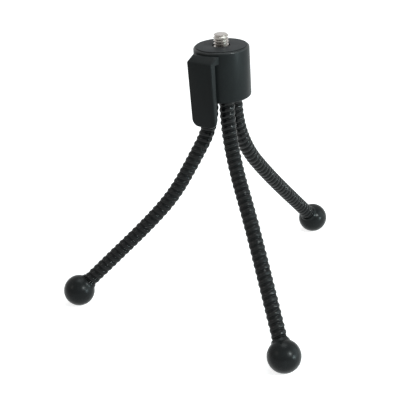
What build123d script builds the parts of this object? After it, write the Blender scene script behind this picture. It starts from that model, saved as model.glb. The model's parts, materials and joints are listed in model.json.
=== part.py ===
from build123d import *
import os
from functools import partial
from math import cos, radians, sin

os.makedirs("parts", exist_ok=True)

# A pocket tripod: a plastic hub with a camera screw on top and a pocket clip on its side, and three
# wound flexible legs that end in rubber balls. Millimetres. The origin is the middle of the grip
# pad's top face, where the camera sits, and +Z runs up along the camera screw.

# Camera screw, a quarter-inch stud with a hexagonal flange under the hub's top wall
SCREW_R = 6.35 / 2
SCREW_OUT = 4.8
SCREW_TIP_CHAMFER = 0.5
SCREW_NECK_R = 2.6
SCREW_PLAY = 0.02
FLANGE_CORNER_R = 5.2
FLANGE_T = 2.0
TAIL_R = 2.6
TAIL_BORE_R = 1.27
TAIL_BORE_DEPTH = 4.5

# Grip pad, a rubber disc with a spigot let into the hub
PAD_R = 10.9
PAD_PROUD = 0.35
PAD_SPIGOT_R = 9.0
PAD_SUNK = 0.4
PAD_PLAY = 0.05
PAD_HOLE_R = 3.7
PAD_EDGE_R = 0.25

# Hub shell, a cup that is open below
HUB_R = 11.7
HUB_BOTTOM = -22.0
HUB_TOP_WALL = 3.65
HUB_BORE_R = 10.15
HUB_STEP_R = 9.4
HUB_TOP_EDGE_R = 0.8
HUB_BOTTOM_EDGE_R = 1.1

# Socket block, which the three legs come out of, and the screw that draws it up into the shell
BLOCK_R = 10.1
BLOCK_TOP = -9.5
BLOCK_BOTTOM = -20.8
BLOCK_EDGE = 0.4
BOLT_R = 1.25
BOLT_HOLE_R = 1.4
BOLT_HEAD_R = 2.15
BOLT_HEAD_T = 1.7
BOLT_LENGTH = 11.5
BOLT_KEY_R = 1.2
BOLT_KEY_DEPTH = 1.0
HEAD_POCKET_R = 2.45
HEAD_POCKET_DEPTH = 2.6
WASHER_R = 2.35
WASHER_T = 0.5

# Pocket clip: it stands off the hub and hangs from one bridge
CLIP_AZIMUTH = 233.9
CLIP_FACE = 16.3
CLIP_BACK = 13.6
CLIP_TOP = -3.7
CLIP_RIM = -1.6
CLIP_RIM_LAND = 0.3
CLIP_BRIDGE_BOTTOM = -4.6
CLIP_BOTTOM = -31.5
CLIP_LEAN_IN = 0.75
CLIP_BACK_LEAN_IN = 0.2
CLIP_WIDTH = 12.4
CLIP_FOOT_WIDTH = 11.9
CLIP_CORNER_R = 3.2
CLIP_EDGE_R = 0.7
CLIP_RUNNING_GAP = 0.05
TONGUE_WIDTH = 6.0
TONGUE_INNER_R = 9.95
TONGUE_TOP = -2.4
TONGUE_BOTTOM = -3.5
TONGUE_PLAY = 0.2

# Legs: all are the same length, and each is a chain of equal links with a knuckle above each link.
# A link is an arc, which turns the leg from the lean at its top to the lean at its bottom. The last
# two links are straight, at the lean that sets the ball on the ground.
ROOT_CIRCLE_R = 6.1
STUB = 4.0
LINK = 18.0
LINKS = 6
STRAIGHT_LINKS = 2
LEGS = {
    "left": (160.0, 187.5, (0.0, 30.0, 32.0, 45.0)),
    "front": (280.0, 285.0, (0.0, 32.0, 50.0, 44.5)),
    "back": (40.0, 55.5, (0.0, 26.0, 42.5, 45.0)),
}

# Winding of a leg: seven ribs to a link. The last rib is the knuckle that the next link turns on, a
# little smaller than the rest, so that it clears the cup at the top of the next link's winding.
RIBS = 7
RIB_PITCH = LINK / RIBS
RIB_GROOVE_R = 2.9
RIB_CREST_R = 3.3
RIB_FLANK = 0.24
KNUCKLE_R = 3.15
FIRST_GROOVE = RIB_PITCH / 2
CUP_START = 1.85
CUP_MOUTH_R = 2.87
CUP_END = 3.0
FLANK_LENGTH = RIB_FLANK * RIB_PITCH
CUP_RIM_R = RIB_GROOVE_R + (RIB_CREST_R - RIB_GROOVE_R) * (CUP_START - FIRST_GROOVE) / FLANK_LENGTH
WINDING_BORE_R = 1.6
CORE_R = 1.5
CORE_START = 2.95
CORE_PAST_KNUCKLE = 2.3
SPAN_TURN = 1.35
MOST_SPANS = 5
SOCKET_R = 3.35

# Ferrules on the cores, above the socket block
FERRULE_R = 3.2
FERRULE_T = 3.2
FERRULE_BORE_R = 1.53
CORE_TOP_OUT = 0.3

# Ball feet
BALL_R = 6.5
GROUND = -115.0
FOOT_RIBS = 5
FOOT_SOCKET_R = 3.35
INSERT_R = 2.4
INSERT_LENGTH = 6.0
INSERT_COLLAR_R = 2.8
INSERT_COLLAR_T = 1.0
INSERT_BORE_R = 1.53
INSERT_BORE_DEPTH = 5.0


def bend_point(lean_top, lean_bottom, s):
    """How far out and down, in mm, a point s mm along a link lies, and the leg's lean there."""
    turn = radians(lean_bottom - lean_top)
    top = radians(lean_top)
    on_arc = min(s, LINK)
    lean = top + turn * on_arc / LINK
    if abs(turn) < 1e-6:
        out, down = sin(top) * on_arc, cos(top) * on_arc
    else:
        radius = LINK / turn
        out, down = radius * (cos(top) - cos(lean)), radius * (sin(lean) - sin(top))
    past = s - on_arc
    return out + past * sin(lean), down + past * cos(lean), lean


def foot_lean(lean_top, drop):
    """The lean of the straight links that brings the leg down by drop mm over them and one arc."""
    low, high = 0.0, 90.0
    for _ in range(50):
        lean = (low + high) / 2
        reach = bend_point(lean_top, lean, LINK)[1] + STRAIGHT_LINKS * LINK * cos(radians(lean))
        low, high = (lean, high) if reach > drop else (low, lean)
    return lean


def cross_section(station, azimuth, leans, s):
    """The plane square to a link, s mm below its upper station, with X steady across the leg."""
    out, down, lean = bend_point(leans[0], leans[1], s)
    ex, ey = cos(radians(azimuth)), sin(radians(azimuth))
    origin = (station[0] + out * ex, station[1] + out * ey, station[2] - down)
    return Plane(origin=origin, x_dir=(-ey, ex, 0), z_dir=(sin(lean) * ex, sin(lean) * ey, -cos(lean)))


def leg_route(root_azimuth, azimuth, rest_leans):
    """The knuckle centres of a leg from the hub to the ball, and the lean at each of them."""
    root = Vector(ROOT_CIRCLE_R, 0, HUB_BOTTOM - STUB).rotate(Axis.Z, root_azimuth)
    stations, leans = [tuple(root)], list(rest_leans)
    for link in range(LINKS):
        if link == LINKS - STRAIGHT_LINKS - 1:
            leans += (STRAIGHT_LINKS + 1) * [foot_lean(leans[-1], stations[-1][2] - (GROUND + BALL_R))]
        stations.append(tuple(cross_section(stations[-1], azimuth, leans[link:link + 2], LINK).origin))
    return stations, leans


def rib_sections(start, count, crest=RIB_CREST_R):
    """Distance and radius of the circles of a row of ribs, four to a rib, that share their grooves."""
    sections = [(start, RIB_GROOVE_R)]
    for rib in range(count):
        foot = start + rib * RIB_PITCH
        sections += [
            (foot + FLANK_LENGTH, crest),
            (foot + RIB_PITCH - FLANK_LENGTH, crest),
            (foot + RIB_PITCH, RIB_GROOVE_R),
        ]
    return sections


def rod_sections(start, end, turn, radius):
    """Distance and radius of the circles of a plain rod: the more it is bent, the shorter its spans."""
    spans = min(MOST_SPANS, max(1, int(abs(turn) / SPAN_TURN)))
    return [(start + (end - start) * k / spans, radius) for k in range(spans + 1)]


def loft_along(sections, plane_at):
    """A ruled loft through circles on the planes that plane_at gives for their distances."""
    with BuildPart() as rod:
        for distance, radius in sections:
            with BuildSketch(plane_at(distance)):
                Circle(radius)
        loft(ruled=True)
    return rod.part


def is_outer_rim(edge):
    """Whether a circle is as wide as the hub."""
    return abs(edge.radius - HUB_R) < 0.01


def save(name, part):
    """Labels a finished piece and writes its STEP file."""
    part.label = name
    export_step(part, f"parts/{name}.step")


# Planes of the pocket clip: level with X outwards, across its side, and across its front
clip_level = Plane.XY.rotated((0, 0, CLIP_AZIMUTH))
clip_side = Plane(origin=(0, 0, 0), x_dir=clip_level.x_dir, z_dir=clip_level.x_dir.cross(Vector(0, 0, 1)))
clip_front = Plane(origin=(0, 0, 0), x_dir=clip_level.y_dir, z_dir=clip_level.x_dir)

# Hub shell: its outline and bore turned as one profile, then the pad's seat, the screw's hole and the
# slot that the clip's tongue is held in
with BuildPart() as hub_shell:
    with BuildSketch(Plane.XZ):
        with BuildLine():
            Polyline(
                (0, -PAD_PROUD), (HUB_R, -PAD_PROUD), (HUB_R, HUB_BOTTOM), (HUB_BORE_R, HUB_BOTTOM),
                (HUB_BORE_R, BLOCK_TOP), (HUB_STEP_R, BLOCK_TOP), (HUB_STEP_R, -PAD_PROUD - HUB_TOP_WALL),
                (0, -PAD_PROUD - HUB_TOP_WALL), close=True,
            )
        make_face()
    revolve(axis=Axis.Z)
    rims = hub_shell.edges().filter_by(GeomType.CIRCLE)
    fillet(rims.filter_by(is_outer_rim).sort_by(Axis.Z)[-1], HUB_TOP_EDGE_R)
    rims = hub_shell.edges().filter_by(GeomType.CIRCLE)
    fillet(rims.filter_by(is_outer_rim).sort_by(Axis.Z)[0], HUB_BOTTOM_EDGE_R)
    with BuildSketch(Plane.XY.offset(-PAD_PROUD)):
        Circle(PAD_SPIGOT_R)
    extrude(amount=-PAD_SUNK, mode=Mode.SUBTRACT)
    with BuildSketch(Plane.XY.offset(-PAD_PROUD)):
        Circle(SCREW_R + SCREW_PLAY)
    extrude(amount=-HUB_TOP_WALL, mode=Mode.SUBTRACT)
    with BuildSketch(clip_level.offset(TONGUE_TOP + TONGUE_PLAY)):
        with Locations((HUB_R, 0)):
            Rectangle(2 * (HUB_R - TONGUE_INNER_R + TONGUE_PLAY), TONGUE_WIDTH + TONGUE_PLAY)
    extrude(amount=TONGUE_BOTTOM - TONGUE_TOP - 2 * TONGUE_PLAY, mode=Mode.SUBTRACT)
save("hub_shell", hub_shell.part)

# Grip pad: a disc with a spigot below and a hole that is wider than the screw
with BuildPart() as grip_pad:
    with BuildSketch(Plane.XY.offset(-PAD_PROUD)):
        Circle(PAD_R)
    extrude(amount=PAD_PROUD)
    fillet(grip_pad.edges().group_by(Axis.Z)[-1], PAD_EDGE_R)
    with BuildSketch(Plane.XY.offset(-PAD_PROUD)):
        Circle(PAD_SPIGOT_R - PAD_PLAY)
    extrude(amount=-PAD_SUNK)
    Hole(PAD_HOLE_R)
save("grip_pad", grip_pad.part)

# Camera stud: thread envelope, relieved neck, shank, hexagonal flange and a tail tapped from below
shank_top = -PAD_PROUD - PAD_SUNK
flange_top = -PAD_PROUD - HUB_TOP_WALL
with BuildPart() as camera_stud:
    with BuildSketch(Plane.XY):
        Circle(SCREW_R)
    extrude(amount=SCREW_OUT)
    chamfer(camera_stud.edges().group_by(Axis.Z)[-1], SCREW_TIP_CHAMFER)
    with BuildSketch(Plane.XY.offset(shank_top)):
        Circle(SCREW_NECK_R)
    extrude(amount=-shank_top)
    with BuildSketch(Plane.XY.offset(flange_top)):
        Circle(SCREW_R)
    extrude(amount=shank_top - flange_top)
    with BuildSketch(Plane.XY.offset(flange_top)):
        RegularPolygon(FLANGE_CORNER_R, 6)
    extrude(amount=-FLANGE_T)
    with BuildSketch(Plane.XY.offset(BLOCK_TOP)):
        Circle(TAIL_R)
    extrude(amount=flange_top - FLANGE_T - BLOCK_TOP)
    with BuildSketch(Plane.XY.offset(BLOCK_TOP)):
        Circle(TAIL_BORE_R)
    extrude(amount=TAIL_BORE_DEPTH, mode=Mode.SUBTRACT)
save("camera_stud", camera_stud.part)

# Socket block: a round plug with three sockets and a bolt hole with a pocket for the bolt's head
with BuildPart() as leg_socket_block:
    with BuildSketch(Plane.XY.offset(BLOCK_BOTTOM)):
        Circle(BLOCK_R)
    extrude(amount=BLOCK_TOP - BLOCK_BOTTOM)
    chamfer(leg_socket_block.edges().group_by(Axis.Z)[0], BLOCK_EDGE)
    with BuildSketch(Plane.XY.offset(BLOCK_BOTTOM)):
        for root_azimuth, _, _ in LEGS.values():
            with PolarLocations(ROOT_CIRCLE_R, 1, root_azimuth):
                Circle(SOCKET_R)
    extrude(amount=BLOCK_TOP - BLOCK_BOTTOM, mode=Mode.SUBTRACT)
    with BuildSketch(Plane.XY.offset(BLOCK_BOTTOM)):
        Circle(BOLT_HOLE_R)
    extrude(amount=BLOCK_TOP - BLOCK_BOTTOM, mode=Mode.SUBTRACT)
    with BuildSketch(Plane.XY.offset(BLOCK_BOTTOM)):
        Circle(HEAD_POCKET_R)
    extrude(amount=HEAD_POCKET_DEPTH, mode=Mode.SUBTRACT)
save("leg_socket_block", leg_socket_block.part)

# Block bolt and its washer, which sit in the pocket under the block
washer_bottom = BLOCK_BOTTOM + HEAD_POCKET_DEPTH - WASHER_T
with BuildPart() as block_washer:
    with BuildSketch(Plane.XY.offset(washer_bottom)):
        Circle(WASHER_R)
        Circle(BOLT_HOLE_R, mode=Mode.SUBTRACT)
    extrude(amount=WASHER_T)
save("block_washer", block_washer.part)

with BuildPart() as block_bolt:
    with BuildSketch(Plane.XY.offset(washer_bottom - BOLT_HEAD_T)):
        Circle(BOLT_HEAD_R)
        RegularPolygon(BOLT_KEY_R, 6, mode=Mode.SUBTRACT)
    extrude(amount=BOLT_HEAD_T)
    with BuildSketch(Plane.XY.offset(washer_bottom - BOLT_HEAD_T + BOLT_KEY_DEPTH)):
        Circle(BOLT_KEY_R)
    extrude(amount=BOLT_HEAD_T - BOLT_KEY_DEPTH)
    with BuildSketch(Plane.XY.offset(washer_bottom)):
        Circle(BOLT_R)
    extrude(amount=BOLT_LENGTH)
save("block_bolt", block_bolt.part)

# Pocket clip: a side profile across the full width, trimmed to its front outline and to the hub
with BuildPart() as pocket_clip:
    with BuildSketch(clip_side):
        with BuildLine():
            Polyline(
                (TONGUE_INNER_R, CLIP_RIM), (HUB_R + CLIP_RIM_LAND, CLIP_RIM), (CLIP_FACE, CLIP_TOP),
                (CLIP_FACE - CLIP_LEAN_IN, CLIP_BOTTOM), (CLIP_BACK - CLIP_BACK_LEAN_IN, CLIP_BOTTOM),
                (CLIP_BACK, CLIP_BRIDGE_BOTTOM), (TONGUE_INNER_R, CLIP_BRIDGE_BOTTOM), close=True,
            )
        make_face()
    extrude(amount=CLIP_WIDTH / 2, both=True)
    with BuildSketch(clip_front.offset(CLIP_FACE)):
        with BuildLine():
            Polyline(
                (-CLIP_WIDTH / 2, 0), (CLIP_WIDTH / 2, 0), (CLIP_FOOT_WIDTH / 2, CLIP_BOTTOM),
                (-CLIP_FOOT_WIDTH / 2, CLIP_BOTTOM), close=True,
            )
        make_face()
        fillet(vertices().group_by(Axis.Y)[0], CLIP_CORNER_R)
    extrude(amount=-CLIP_FACE, mode=Mode.INTERSECT)
    outward = clip_front.z_dir
    shown_faces = pocket_clip.faces().filter_by(lambda face: face.normal_at().dot(outward) > 0.3)
    outline = [edge for edge in shown_faces.edges() if edge.center().dot(outward) > HUB_R + 1]
    fillet(ShapeList(outline), CLIP_EDGE_R)
    with BuildSketch(Plane.XY):
        Circle(HUB_R + CLIP_RUNNING_GAP)
    extrude(amount=HUB_BOTTOM, mode=Mode.SUBTRACT)
    with BuildSketch(clip_level.offset(TONGUE_TOP)):
        with Locations(((TONGUE_INNER_R + CLIP_BACK) / 2, 0)):
            Rectangle(CLIP_BACK - TONGUE_INNER_R, TONGUE_WIDTH)
    extrude(amount=TONGUE_BOTTOM - TONGUE_TOP)
save("pocket_clip", pocket_clip.part)

# Legs: the root of each in the socket block, then its links, then its ball foot
for side, (root_azimuth, azimuth, rest_leans) in LEGS.items():
    stations, leans = leg_route(root_azimuth, azimuth, rest_leans)
    print(side, "ball at", [round(value, 2) for value in stations[-1]], "foot lean", round(leans[-1], 1))

    # Root: the winding is plain where the block holds it, with one rib and the first knuckle below
    across = (-sin(radians(azimuth)), cos(radians(azimuth)), 0)
    root = Plane(origin=stations[0], x_dir=across, z_dir=(0, 0, -1))
    root_top = stations[0][2] - BLOCK_TOP
    root_groove = FIRST_GROOVE - 2 * RIB_PITCH
    sections = [(root_top, RIB_CREST_R), (root_groove - FLANK_LENGTH, RIB_CREST_R)]
    sections += rib_sections(root_groove, 1) + rib_sections(root_groove + RIB_PITCH, 1, KNUCKLE_R)[1:]
    with BuildPart() as winding:
        add(loft_along(sections, root.offset))
        add(loft_along([(root_top, WINDING_BORE_R), (RIB_PITCH / 2, WINDING_BORE_R)], root.offset),
            mode=Mode.SUBTRACT)
    save(f"{side}_winding_0", winding.part)

    with BuildPart() as core:
        with BuildSketch(root.offset(root_top - FERRULE_T - CORE_TOP_OUT)):
            Circle(CORE_R)
        extrude(amount=FERRULE_T + CORE_TOP_OUT - root_top + CORE_PAST_KNUCKLE)
    save(f"{side}_core_0", core.part)

    with BuildPart() as ferrule:
        with BuildSketch(root.offset(root_top)):
            Circle(FERRULE_R)
            Circle(FERRULE_BORE_R, mode=Mode.SUBTRACT)
        extrude(amount=-FERRULE_T)
    save(f"{side}_ferrule", ferrule.part)

    for link in range(1, LINKS + 1):
        plane_at = partial(cross_section, stations[link - 1], azimuth, leans[link - 1:link + 1])
        is_foot = link == LINKS
        turn = leans[link] - leans[link - 1]
        plain_ribs = FOOT_RIBS if is_foot else RIBS - 1
        sections = [(CUP_START, CUP_RIM_R)] + rib_sections(FIRST_GROOVE, plain_ribs)[1:]
        if not is_foot:
            sections += rib_sections(LINK - FIRST_GROOVE, 1, KNUCKLE_R)[1:]
        end = sections[-1][0]
        with BuildPart() as winding:
            add(loft_along(sections, plane_at))
            add(loft_along(rod_sections(CUP_START, end, turn, WINDING_BORE_R), plane_at), mode=Mode.SUBTRACT)
            with BuildSketch(plane_at(CUP_START)):
                Circle(CUP_MOUTH_R)
            with BuildSketch(plane_at(CUP_END)):
                Circle(WINDING_BORE_R)
            loft(mode=Mode.SUBTRACT)
        save(f"{side}_winding_{link}", winding.part)

        core_end = end + INSERT_BORE_DEPTH if is_foot else LINK + CORE_PAST_KNUCKLE
        core = loft_along(rod_sections(CORE_START, core_end, turn, CORE_R), plane_at)
        save(f"{side}_core_{link}", core)

    # Insert: a flanged ferrule crimped on the end of the core
    insert_top = plane_at(end)
    with BuildPart() as foot_insert:
        with BuildSketch(insert_top):
            Circle(INSERT_R)
        extrude(amount=INSERT_LENGTH)
        with BuildSketch(insert_top.offset(INSERT_LENGTH - INSERT_COLLAR_T)):
            Circle(INSERT_COLLAR_R)
        extrude(amount=INSERT_COLLAR_T)
        with BuildSketch(insert_top):
            Circle(INSERT_BORE_R)
        extrude(amount=INSERT_BORE_DEPTH, mode=Mode.SUBTRACT)
    save(f"{side}_foot_insert", foot_insert.part)

    # Ball foot: turned about the leg's line as one profile, with the leg's socket and the insert's cavity
    outwards = insert_top.x_dir
    ball_axis = Plane(origin=stations[-1], x_dir=outwards, z_dir=insert_top.z_dir.cross(outwards))
    socket_floor = LINK - end
    mouth = (BALL_R ** 2 - FOOT_SOCKET_R ** 2) ** 0.5
    collar_top = INSERT_LENGTH - INSERT_COLLAR_T
    with BuildPart() as foot_ball:
        with BuildSketch(ball_axis):
            with BuildLine():
                Polyline(
                    (FOOT_SOCKET_R, mouth), (FOOT_SOCKET_R, socket_floor), (INSERT_R, socket_floor),
                    (INSERT_R, socket_floor - collar_top), (INSERT_COLLAR_R, socket_floor - collar_top),
                    (INSERT_COLLAR_R, socket_floor - INSERT_LENGTH), (0, socket_floor - INSERT_LENGTH),
                    (0, -BALL_R),
                )
                ThreePointArc((0, -BALL_R), (BALL_R, 0), (FOOT_SOCKET_R, mouth))
            make_face()
        revolve(axis=Axis(stations[-1], insert_top.z_dir))
    save(f"{side}_foot_ball", foot_ball.part)
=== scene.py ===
import json
from contextlib import contextmanager
from math import asin, atan2, cos, hypot, pi, radians, sin, sqrt, tan

import bmesh
import bpy
from mathutils import Matrix, Vector


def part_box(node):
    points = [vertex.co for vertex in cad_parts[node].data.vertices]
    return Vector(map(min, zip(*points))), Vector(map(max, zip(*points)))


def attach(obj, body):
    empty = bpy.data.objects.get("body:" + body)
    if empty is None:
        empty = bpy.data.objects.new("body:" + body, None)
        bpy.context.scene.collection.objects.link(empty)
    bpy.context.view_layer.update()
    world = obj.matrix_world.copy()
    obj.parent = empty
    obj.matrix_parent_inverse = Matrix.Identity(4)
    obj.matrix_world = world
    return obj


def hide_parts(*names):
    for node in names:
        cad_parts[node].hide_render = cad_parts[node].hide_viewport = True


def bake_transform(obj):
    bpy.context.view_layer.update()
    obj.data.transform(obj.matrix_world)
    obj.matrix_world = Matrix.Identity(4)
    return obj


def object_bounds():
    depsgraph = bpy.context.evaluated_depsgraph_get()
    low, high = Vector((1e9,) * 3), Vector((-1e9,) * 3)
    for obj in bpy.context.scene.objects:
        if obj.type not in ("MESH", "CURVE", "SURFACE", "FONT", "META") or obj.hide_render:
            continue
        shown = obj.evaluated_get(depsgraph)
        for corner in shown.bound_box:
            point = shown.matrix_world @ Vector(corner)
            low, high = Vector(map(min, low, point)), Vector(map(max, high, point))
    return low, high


bl_info = {
    "name": "Pocket Tripod",
    "version": (1, 0, 0),
    "blender": (4, 5, 0),
    "location": "View3D > Sidebar > Tripod",
    "description": "Models a tabletop tripod with wound flexible legs around its packed frame",
    "category": "Object",
}

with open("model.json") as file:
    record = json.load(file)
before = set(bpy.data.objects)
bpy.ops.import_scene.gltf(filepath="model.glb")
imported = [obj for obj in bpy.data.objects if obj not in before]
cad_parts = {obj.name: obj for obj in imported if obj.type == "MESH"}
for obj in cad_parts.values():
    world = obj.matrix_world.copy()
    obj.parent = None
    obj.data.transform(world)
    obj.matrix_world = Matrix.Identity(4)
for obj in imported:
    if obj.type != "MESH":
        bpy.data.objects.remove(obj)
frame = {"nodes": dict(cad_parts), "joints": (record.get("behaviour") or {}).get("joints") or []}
cad_low, cad_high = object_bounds()

MM = 0.001
SIDES = ("left", "front", "back")
# Distances below which two points count as one: at a cut, and at a seam or on a ring
WELD, SEAM = 1e-7, 1e-6
joints = {joint["name"]: joint for joint in frame["joints"]}
LINKS = sum(1 for name in joints if name.startswith(SIDES[0]))

# Places and sizes that the frame gives
hub_low, hub_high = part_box("hub_shell")
pad_low, pad_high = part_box("grip_pad")
stud_low, stud_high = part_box("camera_stud")
CLIP_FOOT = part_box("pocket_clip")[0].z
HUB_R = (hub_high.x - hub_low.x) / 2
PAD_R = (pad_high.x - pad_low.x) / 2
BALL_R = (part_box("front_foot_ball")[1].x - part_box("front_foot_ball")[0].x) / 2
CLIP_AZIMUTH = atan2(joints["clip_flex"]["pos_m"][1], joints["clip_flex"]["pos_m"][0])
GROUND = cad_low.z


def length(name, description, default):
    """A length property, in metres."""
    return bpy.props.FloatProperty(name=name, description=description, default=default, min=0,
                                   unit="LENGTH", subtype="DISTANCE", precision=5)


def colour(name, description, default):
    """A colour property."""
    return bpy.props.FloatVectorProperty(name=name, description=description, default=default,
                                         min=0, max=1, size=3, subtype="COLOR")


def share(name, description, default):
    """A property from 0 to 1."""
    return bpy.props.FloatProperty(name=name, description=description, default=default,
                                   min=0, max=1, subtype="FACTOR")


class HubSizes(bpy.types.PropertyGroup):
    top_edge: length("Top edge", "Radius of the hub's rounded top edge", 0.8 * MM)
    bottom_edge: length("Bottom edge", "Radius of the hub's rounded bottom edge", 1.1 * MM)
    wall_bore: length("Bore", "Radius of the hub's open underside", 10.15 * MM)
    bore_edge: length("Bore edge", "Radius of the rounded edge of the open underside", 0.15 * MM)
    top_wall: length("Top wall", "Thickness of the hub's top wall", 3.65 * MM)
    pad_edge: length("Pad edge", "Radius of the pad's rounded rim", 0.2 * MM)
    pad_hole: length("Pad hole", "Radius of the hole round the camera screw", 3.7 * MM)
    pad_hole_edge: length("Pad hole edge", "Radius of the hole's rounded upper edge", 0.15 * MM)
    pad_seat: length("Pad seat", "Radius of the seat that the pad is let into", 9.0 * MM)
    pad_seat_depth: length("Pad seat depth", "Depth of the seat that the pad is let into", 0.4 * MM)
    pad_gap: length("Pad gap", "Gap between the pad's spigot and its seat", 0.05 * MM)
    screw_gap: length("Screw gap", "Gap between the camera screw and the hub", 0.02 * MM)
    plastic: colour("Plastic", "Colour of the hub and the clip", (0.0090, 0.0108, 0.0111))
    rubber: colour("Pad rubber", "Colour of the grip pad", (0.0240, 0.0260, 0.0280))


class ScrewSizes(bpy.types.PropertyGroup):
    pitch: length("Pitch", "Pitch of the camera screw's thread", 1.27 * MM)
    outer: length("Outer radius", "Radius over the thread's crests", 3.175 * MM)
    root: length("Root radius", "Radius at the thread's root", 2.45 * MM)
    tip: length("Tip chamfer", "Chamfer at the screw's tip", 0.55 * MM)
    flange: length("Flange radius", "Radius of the flange under the hub's top wall", 5.0 * MM)
    flange_thickness: length("Flange thickness", "Thickness of that flange", 2.0 * MM)
    tail: length("Tail radius", "Radius of the tail below the flange", 2.6 * MM)
    tail_edge: length("Tail edge", "Radius of the tail's rounded end", 0.2 * MM)
    metal: colour("Metal", "Colour of the plated screw", (0.43, 0.405, 0.38))


class ClipSizes(bpy.types.PropertyGroup):
    width: length("Width", "Width of the clip at its top", 12.4 * MM)
    foot_width: length("Foot width", "Width of the clip at its foot", 11.9 * MM)
    face: length("Face", "Distance of the face from the hub's axis, at its top", 16.3 * MM)
    back: length("Back", "Distance of the back from the hub's axis", 13.6 * MM)
    shoulder: length("Shoulder", "Depth at which the slope from the hub's rim ends", 3.7 * MM)
    rim: length("Rim", "Depth at which the slope leaves the hub", 1.6 * MM)
    slope_start: length("Slope start", "Distance of the slope's top from the hub's side", 0.3 * MM)
    bridge: length("Bridge", "Depth of the underside of the bridge to the hub", 4.6 * MM)
    bridge_gap: length("Bridge gap", "Gap between the bridge and the hub's side", 0.05 * MM)
    lean: length("Lean", "How far the face leans in towards its foot", 0.75 * MM)
    corner: length("Corner", "Radius of the two lower corners", 3.2 * MM)
    edge: length("Edge", "Radius of the rounded outer edges", 0.7 * MM)
    edge_start: length("Edge start", "Least distance of the outer edges from the back", 1.2 * MM)
    back_edge: length("Back edge", "Radius of the rounded edges along the back", 0.3 * MM)


class LegSizes(bpy.types.PropertyGroup):
    crest: length("Crest radius", "Radius of a leg over its turns", 3.3 * MM)
    groove: length("Groove radius", "Radius of a leg between its turns", 2.8 * MM)
    pitch: length("Pitch", "Distance from one turn to the next", 2.75 * MM)
    wire: length("Wire radius", "Radius of the wire's rounded outer side", 1.7 * MM)
    turn_width: length("Turn width", "Width of a turn's rounded outer side", 1.9 * MM)
    filler: length("Filler radius", "Radius of a leg over the thin wire in its groove", 3.04 * MM)
    filler_width: length("Filler width", "Width of the thin wire in the groove", 0.76 * MM)
    filler_edge: length("Filler edge", "How far the thin wire's edges lie below its top", 0.04 * MM)
    in_block: length("In the block", "How far above its first joint a leg starts", 8.0 * MM)
    ball_depth: length("Ball depth", "How far from its ball's middle a leg ends", 4.0 * MM)
    bend: length("Bend", "Half the stretch over which a leg bends at a joint", 8.6 * MM)
    coating: colour("Coating", "Colour of the coated wire", (0.0040, 0.0047, 0.0049))


class FootSizes(bpy.types.PropertyGroup):
    radius: length("Radius", "Radius of a ball foot", 6.95 * MM)
    socket: length("Socket", "Radius of the hole that the leg goes into", 3.36 * MM)
    collar_foot: length("Collar foot", "Radius at which the collar leaves the ball", 4.1 * MM)
    collar_wall: length("Collar wall", "Thickness of the collar at its top", 0.25 * MM)
    collar_height: length("Collar height", "How far the collar stands out of the ball", 0.7 * MM)
    lip: length("Lip", "Radius of the rounded edges of the collar", 0.1 * MM)
    rubber: colour("Rubber", "Colour of the ball feet", (0.0080, 0.0093, 0.0096))


class StageSizes(bpy.types.PropertyGroup):
    floor: length("Floor", "Width of the square floor", 8.0)
    background: colour("Background", "Colour of the floor and the backdrop", (1.0, 1.0, 1.0))
    ambient: share("Ambient", "Strength of the light from all round", 0.12)
    glow: share("Floor glow", "Strength of the floor's own white", 0.8)


def put(obj, material):
    """Gives an object this material in place of its own."""
    obj.data.materials.clear()
    obj.data.materials.append(material)


class Value:
    """An output socket, on which arithmetic adds Math nodes."""

    def __init__(self, shader, node, name=0):
        self.shader, self.node = shader, node
        self.socket = node.outputs[name] if len(node.outputs) else None

    def out(self, name):
        """Another output of the same node."""
        return Value(self.shader, self.node, name)

    def maths(self, operation, *inputs):
        return self.shader.add("ShaderNodeMath", dict(enumerate(inputs)), operation=operation)

    def __add__(self, other):
        return self.maths("ADD", self, other)

    def __rsub__(self, other):
        return self.maths("SUBTRACT", other, self)

    def __mul__(self, other):
        return self.maths("MULTIPLY", self, other)

    def either(self, other):
        """The greater of the two."""
        return self.maths("MAXIMUM", self, other)

    def clamped(self, low, high):
        """0 where the value is at low, 1 where it is at high, and straight between them."""
        return self.shader.add("ShaderNodeMapRange", {0: self, 1: low, 2: high}, clamp=True)

    __radd__, __rmul__ = __add__, __mul__


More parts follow.
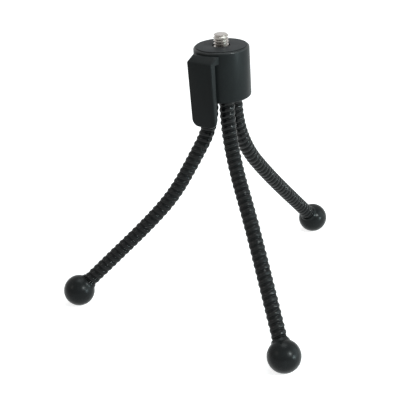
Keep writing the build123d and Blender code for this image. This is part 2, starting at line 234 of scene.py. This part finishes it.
class Shader:
    """A material or a world in the making."""

    def __init__(self, owner):
        self.owner = owner
        owner.use_nodes = True
        self.tree = owner.node_tree
        self.tree.nodes.clear()

    def add(self, kind, sockets=None, **settings):
        """Adds a node with these settings, then its sockets' links or values.

        A socket goes by its name, or by its number where others have the same name.
        """
        node = self.tree.nodes.new(kind)
        for name, value in settings.items():
            setattr(node, name, value)
        for name, value in (sockets or {}).items():
            socket = node.inputs[name]
            if isinstance(value, Value):
                self.tree.links.new(value.socket, socket)
            else:
                socket.default_value = (*value, 1) if socket.type == "RGBA" else value
        return Value(self, node)

    def place(self):
        """Object coordinates, in metres."""
        return self.add("ShaderNodeTexCoord").out("Object")

    def height(self, place):
        """How high a place is, in metres."""
        return self.add("ShaderNodeSeparateXYZ", {"Vector": place}).out("Z")

    def noise(self, place, scale, detail, roughness=0.55):
        """Soft noise, with scale cells to the metre."""
        sockets = {"Vector": place, "Scale": scale, "Detail": detail, "Roughness": roughness}
        return self.add("ShaderNodeTexNoise", sockets).out("Fac")

    def mix(self, factor, first, second):
        """Colour first, turning into second as factor goes to 1."""
        mixed = self.add("ShaderNodeMix", {0: factor, 6: first, 7: second}, data_type="RGBA")
        return mixed.out(2)

    def bump(self, height, depth, strength=0.5):
        """A normal from a height, whose full range is depth metres."""
        sockets = {"Height": height, "Distance": depth, "Strength": strength}
        return self.add("ShaderNodeBump", sockets)

    def surface(self, **sockets):
        """The surface shader, linked to the output, from its sockets' names in lower case."""
        named = {name.replace("_", " ").title().replace("Ior", "IOR"): value
                 for name, value in sockets.items()}
        shader = self.add("ShaderNodeBsdfPrincipled", named)
        self.add("ShaderNodeOutputMaterial", {"Surface": shader})
        return self.owner


def tone(base, factor):
    """A colour made lighter or darker."""
    return tuple(min(1, channel * factor) for channel in base)


def satin_plastic(base, name, rim=None):
    """Finely grained, faintly rubbed black plastic, polished between a rim's heights if given."""
    shader = Shader(bpy.data.materials.new(name))
    place = shader.place()
    grain = shader.noise(place, scale=5200, detail=2)
    patches = shader.noise(place, scale=160, detail=4).clamped(0.42, 0.68)
    dust = shader.noise(place, scale=1500, detail=2).clamped(0.66, 0.74)
    body = shader.mix(patches * 0.5, base, tone(base, 1.22))
    polish = {}
    if rim is not None:
        coat = 0.36 * shader.height(place).clamped(*rim)
        polish = {"coat_weight": coat, "coat_roughness": 0.28}
    return shader.surface(
        base_color=shader.mix(dust * 0.22, body, tone(base, 2.6)),
        roughness=0.34 + 0.07 * patches + 0.05 * grain,
        specular_ior_level=0.08,
        normal=shader.bump(grain, 0.018 * MM, strength=0.55),
        **polish,
    )


def moulded_rubber(base, name, grain_scale, gloss, specular, top=None):
    """Pored rubber, lighter and duller where it has been handled, and darkened by painted shade to
    near black below its top, if a top is given.
    """
    shader = Shader(bpy.data.materials.new(name))
    place = shader.place()
    pores = shader.noise(place, grain_scale, detail=3, roughness=0.7)
    bloom = shader.noise(place, scale=260, detail=4).clamped(0.4, 0.64)
    mottle = bloom * 0.6 + pores.clamped(0.35, 0.65) * 0.4
    body = shader.mix(mottle, tone(base, 0.7), tone(base, 1.3))
    if top is not None:
        # Painted shade: below the top the colour goes near black, for the shadow on the pad's side
        # wall and in its screw hole
        painted_shade_depth = 0.1 * MM
        unshaded_top = shader.height(place).clamped(top - painted_shade_depth, top)
        body = shader.mix(unshaded_top, tone(base, 0.3), body)
    cell = 1 / grain_scale
    return shader.surface(
        base_color=body,
        roughness=gloss + 0.08 * bloom + 0.05 * pores,
        specular_ior_level=specular,
        normal=shader.bump(pores, 0.06 * cell),
    )


def plated_metal(base, name, roughness):
    """Plated or turned metal with stains and fine wear."""
    shader = Shader(bpy.data.materials.new(name))
    place = shader.place()
    wear = shader.noise(place, scale=2400, detail=3)
    stain = shader.noise(place, scale=420, detail=3).clamped(0.45, 0.75)
    return shader.surface(
        base_color=shader.mix(stain * 0.55, base, tone(base, 0.72)),
        metallic=1.0,
        roughness=roughness + 0.12 * stain + 0.06 * wear,
        normal=shader.bump(wear, 0.006 * MM),
    )


def coated_wire(base):
    """Black coating on the legs' wires: glossy, rubbed on the crests, dull in the grooves and
    darkened there by painted shade.
    """
    shader = Shader(bpy.data.materials.new("coated_wire"))
    place = shader.add("ShaderNodeAttribute", attribute_name="straight_place").out("Vector")
    crest = shader.add("ShaderNodeAttribute", attribute_name="crest").out("Fac")
    flow = shader.noise(place, scale=1900, detail=3)
    rubbed = shader.noise(place, scale=520, detail=4).clamped(0.52, 0.7) * crest.clamped(0.75, 1.0)
    # Painted shade: the grooves between the turns are made darker in colour, as well as rougher
    dull_and_painted_shade = 1 - crest.clamped(0.0, 0.45)
    coating = shader.mix(rubbed * 0.35, base, tone(base, 3.0))
    return shader.surface(
        base_color=shader.mix(dull_and_painted_shade * 0.5, coating, tone(base, 0.45)),
        roughness=0.22 + 0.05 * flow + 0.08 * rubbed + 0.3 * dull_and_painted_shade,
        specular_ior_level=0.02,
        coat_weight=0.32 * crest.clamped(0.0, 0.6),
        coat_roughness=0.04,
        normal=shader.bump(flow, 0.008 * MM),
    )


def select_only(obj):
    """Selects this object and nothing else, and makes it active."""
    bpy.ops.object.select_all(action="DESELECT")
    obj.select_set(True)
    bpy.context.view_layer.objects.active = obj


def modify(obj, kind, **settings):
    """Adds a modifier with these settings and applies it."""
    select_only(obj)
    modifier = obj.modifiers.new(kind.title(), kind)
    for name, value in settings.items():
        setattr(modifier, name, value)
    bpy.ops.object.modifier_apply(modifier=modifier.name)


def new_piece(name):
    """Names the primitive that was just added and puts its place into its mesh."""
    piece = bpy.context.object
    piece.name = piece.data.name = name
    bpy.ops.object.transform_apply(location=True, rotation=True, scale=True)
    return piece


@contextmanager
def editing(obj, mode="VERT"):
    """Edit mode on one object, with everything selected."""
    select_only(obj)
    bpy.ops.object.mode_set(mode="EDIT")
    bpy.ops.mesh.select_mode(type=mode)
    bpy.ops.mesh.select_all(action="SELECT")
    yield
    bpy.ops.object.mode_set(mode="OBJECT")


def pick(obj, kind, test):
    """In edit mode, selects the edges or faces that pass a test on their middle and themselves."""
    mesh = bmesh.from_edit_mesh(obj.data)
    bpy.ops.mesh.select_all(action="DESELECT")
    for element in getattr(mesh, kind):
        middle = sum((vertex.co for vertex in element.verts), Vector()) / len(element.verts)
        element.select_set(test(middle, element))
    mesh.select_flush_mode()
    bmesh.update_edit_mesh(obj.data)


def slice_off(obj, point, normal, fill=True):
    """Cuts away what lies beyond a plane and closes the cut."""
    with editing(obj):
        bpy.ops.mesh.bisect(plane_co=point, plane_no=Vector(normal).normalized(), clear_outer=True,
                            use_fill=fill, threshold=WELD)


def tidy_normals(obj, weld=WELD):
    """Merges doubles and turns all faces outwards."""
    with editing(obj):
        bpy.ops.mesh.remove_doubles(threshold=weld)
        bpy.ops.mesh.normals_make_consistent(inside=False)


def smooth(obj, angle=35):
    """Shades smooth, with edges sharper than the angle left crisp."""
    select_only(obj)
    bpy.ops.object.shade_smooth_by_angle(angle=radians(angle))


def round_edges(obj, radii, segments=4):
    """Bevels edges: radii pairs a test on an edge's two ends with the edge's radius."""
    widest = max(radius for _, radius in radii)
    weights = obj.data.attributes.new("bevel_weight_edge", "FLOAT", "EDGE")
    vertices = obj.data.vertices
    for edge in obj.data.edges:
        first, second = (vertices[index].co for index in edge.vertices)
        for test, radius in radii:
            if test(first, second):
                weights.data[edge.index].value = radius / widest
    modify(obj, "BEVEL", width=widest, segments=segments, limit_method="WEIGHT",
           use_clamp_overlap=False)


def grow_rings(rings):
    """In edit mode, extrudes the selected ring through rings of radius, height and edge radius."""
    for (radius, height, _), (next_radius, next_height, _) in zip(rings, rings[1:]):
        step = (0, 0, next_height - height)
        bpy.ops.mesh.extrude_edges_move(TRANSFORM_OT_translate={"value": step})
        factor = next_radius / radius
        bpy.ops.transform.resize(value=(factor, factor, 1), center_override=(0, 0, next_height))


def round_rings(piece, rings):
    """Rounds those of the rings that have an edge radius."""
    def on_ring(radius, height):
        def test(*ends):
            return all(hypot(hypot(end.x, end.y) - radius, end.z - height) < SEAM for end in ends)
        return test

    rounded = [(on_ring(radius, height), edge) for radius, height, edge in rings if edge > 0]
    if rounded:
        round_edges(piece, rounded)


def turned(name, rings, segments=128, closed=True):
    """A body turned about Z from rings of radius, height and edge radius.

    If closed, the last ring is joined to the first, and otherwise both are filled.
    """
    radius, height, _ = rings[0]
    bpy.ops.mesh.primitive_circle_add(vertices=segments, radius=radius, location=(0, 0, height))
    piece = new_piece(name)
    with editing(piece, "EDGE"):
        grow_rings(rings)
        bpy.ops.mesh.select_all(action="DESELECT")
        bpy.ops.mesh.select_non_manifold()
        if closed:
            bpy.ops.mesh.bridge_edge_loops()
        else:
            bpy.ops.mesh.fill_holes(sides=0)
    tidy_normals(piece)
    round_rings(piece, rings)
    return piece


def wound_rod(name, profile, pitch, start, end, steps):
    """A rod along Z whose surface is a helix of one profile, cut square and closed at both ends."""
    spare = 2 * pitch
    radius, height = profile[0]
    bpy.ops.mesh.primitive_plane_add(size=pitch, location=(radius, 0, start - spare + height))
    rod = new_piece(name)
    with editing(rod):
        bpy.ops.mesh.merge(type="CENTER")
        for (radius, height), (next_radius, next_height) in zip(profile, profile[1:]):
            step = (next_radius - radius, 0, next_height - height)
            bpy.ops.mesh.extrude_vertices_move(TRANSFORM_OT_translate={"value": step})
    turns = int((end - start + 2 * spare) / pitch)
    modify(rod, "SCREW", angle=2 * pi, screw_offset=pitch, iterations=turns, steps=steps,
           render_steps=steps, use_merge_vertices=True, merge_threshold=SEAM)
    tidy_normals(rod, SEAM)
    slice_off(rod, (0, 0, start), (0, 0, -1))
    slice_off(rod, (0, 0, end), (0, 0, 1))
    tidy_normals(rod)
    return rod


def cut_by(obj, tool, operation):
    """Combines an object with a tool body, which is then deleted."""
    modify(obj, "BOOLEAN", object=tool, operation=operation, solver="EXACT")
    bpy.data.objects.remove(tool)


def finish_piece(piece, body, material, node):
    """Gives a finished piece its material, its body and the node that it replaces."""
    put(piece, material)
    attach(piece, body)
    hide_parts(node)


class TRIPOD_OT_hub(bpy.types.Operator):
    """Model the hub: a round cup with rounded rims, a seat for the pad and a hole for the screw"""
    bl_idname = "tripod.hub"
    bl_label = "Hub"

    def execute(self, context):
        sizes = context.scene.tripod_hub
        screw = context.scene.tripod_screw
        seat_floor = hub_high.z - sizes.pad_seat_depth
        wall_top = hub_high.z - sizes.top_wall
        screw_hole = screw.outer + sizes.screw_gap
        hub = turned("hub", [
            (sizes.wall_bore, hub_low.z, sizes.bore_edge),
            (HUB_R, hub_low.z, sizes.bottom_edge),
            (HUB_R, hub_high.z, sizes.top_edge),
            (sizes.pad_seat, hub_high.z, 0),
            (sizes.pad_seat, seat_floor, 0),
            (screw_hole, seat_floor, 0),
            (screw_hole, wall_top, 0),
            (sizes.wall_bore, wall_top, 0),
        ])
        smooth(hub)
        rim = (hub_high.z - sizes.top_edge, hub_high.z - sizes.top_edge / 2)
        material = satin_plastic(sizes.plastic, "hub_plastic", rim)
        finish_piece(hub, "hub", material, "hub_shell")
        return {"FINISHED"}


class TRIPOD_OT_pad(bpy.types.Operator):
    """Model the rubber grip pad on the hub's top"""
    bl_idname = "tripod.pad"
    bl_label = "Grip pad"

    def execute(self, context):
        sizes = context.scene.tripod_hub
        spigot = sizes.pad_seat - sizes.pad_gap
        pad = turned("pad", [
            (PAD_R, hub_high.z, 0),
            (PAD_R, pad_high.z, sizes.pad_edge),
            (sizes.pad_hole, pad_high.z, sizes.pad_hole_edge),
            (sizes.pad_hole, pad_low.z, 0),
            (spigot, pad_low.z, 0),
            (spigot, hub_high.z, 0),
        ])
        smooth(pad)
        material = moulded_rubber(sizes.rubber, "pad_rubber", grain_scale=1500, gloss=0.5,
                                  specular=0.1, top=pad_high.z)
        finish_piece(pad, "hub", material, "grip_pad")
        return {"FINISHED"}


class TRIPOD_OT_screw(bpy.types.Operator):
    """Model the camera screw with its thread, its flange and its tail"""
    bl_idname = "tripod.screw"
    bl_label = "Camera screw"

    def execute(self, context):
        sizes = context.scene.tripod_screw
        pitch = sizes.pitch
        # The flats on the thread's crest and at its root are an eighth of the pitch wide
        crest, root = pitch / 16, pitch * 7 / 16
        profile = [
            (sizes.root, -pitch / 2), (sizes.root, -root), (sizes.outer, -crest),
            (sizes.outer, crest), (sizes.root, root), (sizes.root, pitch / 2),
        ]
        thread_depth, clear, overlap = 2.0 * MM, 1.0 * MM, 0.2 * MM
        thread_foot = hub_high.z - thread_depth
        stud = wound_rod("camera_stud_thread", profile, pitch, thread_foot, stud_high.z, steps=48)
        envelope = turned("tip_envelope", [
            (sizes.outer + clear, thread_foot - clear, 0),
            (sizes.outer + clear, stud_high.z - sizes.tip - clear, 0),
            (sizes.outer - sizes.tip, stud_high.z, 0),
        ], segments=64, closed=False)
        cut_by(stud, envelope, "INTERSECT")
        flange_top = hub_high.z - context.scene.tripod_hub.top_wall
        flange_foot = flange_top - sizes.flange_thickness
        tail = turned("tail", [
            (sizes.tail, stud_low.z, sizes.tail_edge),
            (sizes.tail, flange_foot, 0),
            (sizes.flange, flange_foot, 0),
            (sizes.flange, flange_top, 0),
            (sizes.outer, flange_top, 0),
            (sizes.outer, thread_foot + overlap, 0),
        ], segments=64, closed=False)
        cut_by(stud, tail, "UNION")
        smooth(stud, angle=30)
        material = plated_metal(sizes.metal, "screw_nickel", roughness=0.2)
        finish_piece(stud, "hub", material, "camera_stud")
        return {"FINISHED"}


class TRIPOD_OT_clip(bpy.types.Operator):
    """Model the pocket clip: a flat tongue that hangs from a bridge on the hub's side"""
    bl_idname = "tripod.clip"
    bl_label = "Pocket clip"

    def execute(self, context):
        sizes = context.scene.tripod_clip
        top, foot = -sizes.rim, CLIP_FOOT
        middle = ((sizes.back + sizes.face) / 2, 0, (top + foot) / 2)
        bpy.ops.mesh.primitive_cube_add(size=1, location=middle,
                                        scale=(sizes.face - sizes.back, sizes.width, top - foot))
        clip = new_piece("clip")
        overlap, slack, hair = 1.0 * MM, 0.2 * MM, 0.01 * MM
        with editing(clip, "FACE"):
            bpy.ops.mesh.bisect(plane_co=(0, 0, -sizes.bridge), plane_no=(0, 0, 1), threshold=WELD)
            pick(clip, "faces",
                 lambda middle, face: face.normal.x < -0.9 and middle.z > -sizes.bridge)
            inwards = (HUB_R - overlap - sizes.back, 0, 0)
            bpy.ops.mesh.extrude_region_move(TRANSFORM_OT_translate={"value": inwards})
        shoulder = (sizes.face, 0, -sizes.shoulder)
        drop = sizes.shoulder - sizes.rim
        run = sizes.face - HUB_R - sizes.slope_start
        height = -foot - sizes.shoulder
        slice_off(clip, shoulder, (drop, 0, run))
        slice_off(clip, shoulder, (height, 0, -sizes.lean))
        narrowing = (sizes.width - sizes.foot_width) / 2
        for side in (-1, 1):
            slice_off(clip, (0, side * sizes.width / 2, 0), (0, side * height, -narrowing))
        with editing(clip, "EDGE"):
            pick(clip, "edges",
                 lambda middle, edge: abs(middle.z - foot) < hair and abs(middle.y) > slack)
            bpy.ops.mesh.bevel(offset=sizes.corner, segments=10, affect="EDGES")
        tidy_normals(clip)

        def outer(first, second):
            """On the face's side, or round the top of the bridge."""
            nearest, lowest = min(first.x, second.x), min(first.z, second.z)
            on_bridge = lowest > -sizes.shoulder - hair and nearest > HUB_R + slack
            return nearest > sizes.back + sizes.edge_start or on_bridge

        def along_back(first, second):
            """On the back's side, below the bridge."""
            farthest, highest = max(first.x, second.x), max(first.z, second.z)
            return farthest < sizes.back + slack and highest < -sizes.bridge - hair

        round_edges(clip, [(outer, sizes.edge), (along_back, sizes.back_edge)], segments=5)
        bpy.ops.mesh.primitive_cylinder_add(vertices=128, radius=HUB_R + sizes.bridge_gap,
                                            depth=-2 * foot, location=(0, 0, 0))
        cut_by(clip, new_piece("hub_cut"), "DIFFERENCE")
        clip.data.transform(Matrix.Rotation(CLIP_AZIMUTH, 4, "Z"))
        tidy_normals(clip)
        smooth(clip)
        material = satin_plastic(context.scene.tripod_hub.plastic, "clip_plastic")
        finish_piece(clip, "clip", material, "pocket_clip")
        return {"FINISHED"}


def link_length(stations):
    """The length of a leg's links: the longest step between its stations."""
    return max((second - first).length for first, second in zip(stations, stations[1:]))


def leg_stations(side):
    """The joint centres of a leg and its ball's middle, with the leg's direction at each."""
    low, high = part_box(f"{side}_foot_ball")
    own = [name for name in joints if name.startswith(side)]
    own.sort(key=lambda name: int(name.split("_")[-1]))
    stations = [Vector(joints[name]["pos_m"]) for name in own] + [(low + high) / 2]
    outward = stations[-1] - stations[0]
    outward.z = 0
    outward.normalize()
    # Each link is an arc, whose chord leans halfway between its ends; the last link is straight
    leans = [0.0]
    for first, second in zip(stations, stations[1:]):
        chord = second - first
        chord_lean = atan2(chord.dot(outward), -chord.z)
        leans.append(2 * chord_lean - leans[-1])
    leans[-1] = leans[-2] = (leans[-1] + leans[-2]) / 2
    return stations, [outward * sin(lean) - Vector((0, 0, cos(lean))) for lean in leans]


def leg_curve(side, in_block):
    """A Bezier line through a leg's stations, from inside the hub to the middle of its ball."""
    stations, directions = leg_stations(side)
    points = [stations[0] - directions[0] * in_block] + stations
    directions = [directions[0]] + directions
    data = bpy.data.curves.new(f"{side}_leg_line", "CURVE")
    data.dimensions = "3D"
    data.resolution_u = 32
    spline = data.splines.new("BEZIER")
    spline.bezier_points.add(len(points) - 1)
    for bezier, point in zip(spline.bezier_points, points):
        bezier.co = point
        bezier.handle_left_type = bezier.handle_right_type = "FREE"
        bezier.handle_left = bezier.handle_right = point
    nearly_straight = radians(0.1)
    arcs = zip(spline.bezier_points, spline.bezier_points[1:], directions, directions[1:])
    for first, second, start, end in arcs:
        chord = (second.co - first.co).length
        turn = start.angle(end, 0)
        reach = chord / 3
        if turn > nearly_straight:
            arc_radius = chord / (2 * sin(turn / 2))
            reach = arc_radius * tan(turn / 4) * 4 / 3
        first.handle_right = first.co + start * reach
        second.handle_left = second.co - end * reach
    line = bpy.data.objects.new(data.name, data)
    bpy.context.scene.collection.objects.link(line)
    return line


class TRIPOD_OT_legs(bpy.types.Operator):
    """Wind the three legs: a helix along each leg's line, in a piece for each joint"""
    bl_idname = "tripod.legs"
    bl_label = "Wound legs"

    def profile(self, sizes):
        """One pitch of the winding: the thick wire, with half of the thin wire on each side."""
        middle = sizes.crest - sizes.wire
        facets = 10
        edge = asin(sizes.turn_width / 2 / sizes.wire)
        angles = [edge * (2 * step / facets - 1) for step in range(facets + 1)]
        arc = [(middle + sizes.wire * cos(angle), sizes.wire * sin(angle)) for angle in angles]
        half = sizes.pitch / 2
        filler = [
            (sizes.groove, half - sizes.filler_width / 2),
            (sizes.filler - sizes.filler_edge, half - sizes.filler_width / 4),
            (sizes.filler, half),
        ]
        return [(radius, -height) for radius, height in reversed(filler)] + arc + filler

    def mark(self, rod, sizes):
        """Keeps each point's place on the rod and how far up its turn it is, for the coating."""
        place = rod.data.attributes.new("straight_place", "FLOAT_VECTOR", "POINT")
        crest = rod.data.attributes.new("crest", "FLOAT", "POINT")
        for vertex in rod.data.vertices:
            place.data[vertex.index].vector = vertex.co
            radius = hypot(vertex.co.x, vertex.co.y)
            crest.data[vertex.index].value = (radius - sizes.groove) / (sizes.crest - sizes.groove)

    def straight_winding(self, sizes):
        """The winding before it is bent, as long as a leg."""
        stations, _ = leg_stations(SIDES[0])
        reach = sizes.in_block + LINKS * link_length(stations) - sizes.ball_depth
        profile = self.profile(sizes)
        rod = wound_rod("straight_winding", profile, sizes.pitch, start=0, end=reach, steps=36)
        self.mark(rod, sizes)
        return rod

    def execute(self, context):
        sizes = context.scene.tripod_legs
        coating = coated_wire(sizes.coating)
        straight = self.straight_winding(sizes)
        for side in SIDES:
            stations, directions = leg_stations(side)
            link = link_length(stations)
            line = leg_curve(side, sizes.in_block)
            for number in range(1, LINKS + 1):
                piece = straight.copy()
                piece.data = straight.data.copy()
                piece.name = piece.data.name = f"{side}_leg_wire_{number}"
                context.scene.collection.objects.link(piece)
                joint_at = sizes.in_block + (number - 1) * link
                if number > 1:
                    slice_off(piece, (0, 0, joint_at - link / 2), (0, 0, -1))
                if number < LINKS:
                    slice_off(piece, (0, 0, joint_at + link / 2), (0, 0, 1))
                modify(piece, "CURVE", object=line, deform_axis="POS_Z")
                smooth(piece, angle=50)
                put(piece, coating)
                station = stations[number - 1]
                bend = directions[number - 1] * sizes.bend
                station - bend
                station + bend
                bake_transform(piece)
                root = [f"{side}_winding_0"] if number == 1 else []
                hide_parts(f"{side}_winding_{number}", *root)
            bpy.data.objects.remove(line)
        bpy.data.objects.remove(straight)
        return {"FINISHED"}


class TRIPOD_OT_feet(bpy.types.Operator):
    """Model the three ball feet, each with a collar round the socket that its leg goes into"""
    bl_idname = "tripod.feet"
    bl_label = "Ball feet"

    def execute(self, context):
        sizes = context.scene.tripod_feet
        ball_depth = context.scene.tripod_legs.ball_depth
        rubber = moulded_rubber(sizes.rubber, "foot_rubber", grain_scale=2900, gloss=0.22,
                                specular=0.11)
        collar_top = sqrt(sizes.radius ** 2 - sizes.socket ** 2) + sizes.collar_height
        for side in SIDES:
            stations, directions = leg_stations(side)
            # A ball larger than the frame's sits higher on its leg, to stand on the same floor
            raised = (sizes.radius - BALL_R) / -directions[-1].z
            rings = [
                (sizes.collar_foot, sqrt(sizes.radius ** 2 - sizes.collar_foot ** 2), 0),
                (sizes.socket + sizes.collar_wall, collar_top, sizes.lip),
                (sizes.socket, collar_top, sizes.lip),
                (sizes.socket, ball_depth - raised, 0),
            ]
            bpy.ops.mesh.primitive_uv_sphere_add(segments=72, ring_count=48, radius=sizes.radius)
            ball = new_piece(f"{side}_ball")
            slice_off(ball, (0, 0, rings[0][1]), (0, 0, 1), fill=False)
            with editing(ball, "EDGE"):
                bpy.ops.mesh.select_all(action="DESELECT")
                bpy.ops.mesh.select_non_manifold()
                grow_rings(rings)
                bpy.ops.mesh.edge_face_add()
            tidy_normals(ball)
            round_rings(ball, rings)
            turn = Vector((0, 0, 1)).rotation_difference(-directions[-1]).to_matrix().to_4x4()
            middle = stations[-1] - directions[-1] * raised
            ball.data.transform(Matrix.Translation(middle) @ turn)
            smooth(ball)
            finish_piece(ball, f"{side}_link_{LINKS}", rubber, f"{side}_foot_ball")
        return {"FINISHED"}


class TRIPOD_OT_inner(bpy.types.Operator):
    """Finish the frame's own pieces: block, bolt, washer, cores, ferrules and inserts"""
    bl_idname = "tripod.inner"
    bl_label = "Inner pieces"

    def execute(self, context):
        steel = plated_metal((0.42, 0.42, 0.43), "core_steel", roughness=0.34)
        brass = plated_metal((0.70, 0.54, 0.28), "ferrule_brass", roughness=0.3)
        zinc = plated_metal((0.55, 0.55, 0.56), "bolt_zinc", roughness=0.28)
        dark = satin_plastic(tone(context.scene.tripod_hub.plastic, 0.8), "block_plastic")
        finishes = {"core": steel, "ferrule": brass, "foot_insert": brass,
                    "bolt": zinc, "washer": zinc, "socket_block": dark}
        for name, node in frame["nodes"].items():
            for part, material in finishes.items():
                if part in name:
                    put(node, material)
        return {"FINISHED"}


# The lamps' tints, and then each lamp's direction, distance and width in metres, watts and tint
COOL, NEUTRAL, WARM = (0.78, 0.97, 1.0), (0.92, 1.0, 1.0), (1.0, 0.98, 0.92)
LAMPS = {
    "key_lamp": ((0.63, -0.57, 0.53), 1.0, 0.09, 7.5, NEUTRAL),
    "top_lamp": ((0.07, 0.26, 0.96), 1.0, 0.50, 2.8, NEUTRAL),
    "side_lamp": ((0.90, -0.44, 0.04), 1.0, 0.09, 4.2, COOL),
    "wide_lamp": ((0.97, 0.05, 0.25), 1.0, 0.70, 2.9, COOL),
    "fill_lamp": ((-0.75, -0.35, 0.56), 1.1, 0.22, 0.9, WARM),
}
# The photograph's viewpoint in metres, the directions of its right and up, and its lens in mm
VIEWPOINT = (0, -0.41654, 0.11471)
VIEW_RIGHT = Vector((0.99834, -0.0047, -0.05737))
VIEW_UP = Vector((0.05416, 0.41429, 0.90853))
LENS = 88.35


class TRIPOD_OT_stage(bpy.types.Operator):
    """Set the white floor and backdrop, the studio lamps and the camera"""
    bl_idname = "tripod.stage"
    bl_label = "Stage"

    def seen(self, shader):
        """1 where the background is looked at, straight, in a reflection or through something."""
        ray = shader.add("ShaderNodeLightPath")
        straight_or_mirrored = ray.out("Is Camera Ray").either(ray.out("Is Glossy Ray"))
        return straight_or_mirrored.either(ray.out("Is Transmission Ray"))

    def floor(self, sizes):
        """A white floor that keeps the object's shadow."""
        shader = Shader(bpy.data.materials.new("stage_floor"))
        white = tuple(sizes.background)
        glow = {"Color": white, "Strength": sizes.glow * self.seen(shader)}
        diffuse = shader.add("ShaderNodeBsdfDiffuse", {"Color": tone(white, 0.8)})
        emission = shader.add("ShaderNodeEmission", glow)
        both = shader.add("ShaderNodeAddShader", {0: diffuse, 1: emission})
        shader.add("ShaderNodeOutputMaterial", {"Surface": both})
        bpy.ops.mesh.primitive_plane_add(size=sizes.floor, location=(0, 0, GROUND))
        floor = new_piece("stage_floor")
        put(floor, shader.owner)

    def backdrop(self, scene, sizes):
        """A white world, which lights the object more softly than it shows."""
        scene.world = bpy.data.worlds.new("stage_backdrop")
        shader = Shader(scene.world)
        strength = sizes.ambient + (1 - sizes.ambient) * self.seen(shader)
        sockets = {"Color": tuple(sizes.background), "Strength": strength}
        back = shader.add("ShaderNodeBackground", sockets)
        shader.add("ShaderNodeOutputWorld", {"Surface": back})

    def lamp(self, name, direction, distance, size, power, tint):
        """A square soft lamp that looks at the middle of the tripod."""
        middle = (cad_low + cad_high) / 2
        direction = Vector(direction).normalized()
        bpy.ops.object.light_add(type="AREA", location=middle + direction * distance)
        lamp = bpy.context.object
        lamp.name = lamp.data.name = name
        lamp.data.size = size
        lamp.data.energy = power
        lamp.data.color = tint
        lamp.rotation_mode = "QUATERNION"
        lamp.rotation_quaternion = direction.to_track_quat("Z", "Y")

    def camera(self, scene):
        """The photograph's view, with its long lens."""
        bpy.ops.object.camera_add(location=VIEWPOINT)
        camera = bpy.context.object
        turn = Matrix((VIEW_RIGHT, VIEW_UP, VIEW_RIGHT.cross(VIEW_UP))).transposed()
        camera.rotation_mode = "QUATERNION"
        camera.rotation_quaternion = turn.to_quaternion()
        camera.data.lens = LENS
        camera.data.sensor_width = 36
        camera.data.clip_start, camera.data.clip_end = 0.01, 20
        scene.camera = camera

    def execute(self, context):
        sizes = context.scene.tripod_stage
        self.floor(sizes)
        self.backdrop(context.scene, sizes)
        for name, values in LAMPS.items():
            self.lamp(name, *values)
        self.camera(context.scene)
        context.scene.view_settings.view_transform = "Standard"
        return {"FINISHED"}


OPERATORS = (TRIPOD_OT_hub, TRIPOD_OT_pad, TRIPOD_OT_screw, TRIPOD_OT_clip, TRIPOD_OT_legs,
             TRIPOD_OT_feet, TRIPOD_OT_inner, TRIPOD_OT_stage)
SETTINGS = {"tripod_hub": HubSizes, "tripod_screw": ScrewSizes, "tripod_clip": ClipSizes,
            "tripod_legs": LegSizes, "tripod_feet": FootSizes, "tripod_stage": StageSizes}


class TRIPOD_PT_pieces(bpy.types.Panel):
    """The tripod's pieces and their sizes"""
    bl_idname = "TRIPOD_PT_pieces"
    bl_label = "Pocket tripod"
    bl_space_type = "VIEW_3D"
    bl_region_type = "UI"
    bl_category = "Tripod"

    def draw(self, context):
        for name, group in SETTINGS.items():
            box = self.layout.box()
            for prop in group.__annotations__:
                box.prop(getattr(context.scene, name), prop)
        for operator in OPERATORS:
            self.layout.operator(operator.bl_idname)


def register():
    for kind in (*SETTINGS.values(), *OPERATORS, TRIPOD_PT_pieces):
        bpy.utils.register_class(kind)
    for name, kind in SETTINGS.items():
        setattr(bpy.types.Scene, name, bpy.props.PointerProperty(type=kind))


def unregister():
    for name in SETTINGS:
        delattr(bpy.types.Scene, name)
    for kind in (TRIPOD_PT_pieces, *reversed(OPERATORS), *reversed(SETTINGS.values())):
        bpy.utils.unregister_class(kind)


def main():
    register()
    bpy.ops.tripod.stage()
    bpy.ops.tripod.hub()
    bpy.ops.tripod.pad()
    bpy.ops.tripod.screw()
    bpy.ops.tripod.clip()
    bpy.ops.tripod.legs()
    bpy.ops.tripod.feet()
    bpy.ops.tripod.inner()


if __name__ == "__main__":
    main()
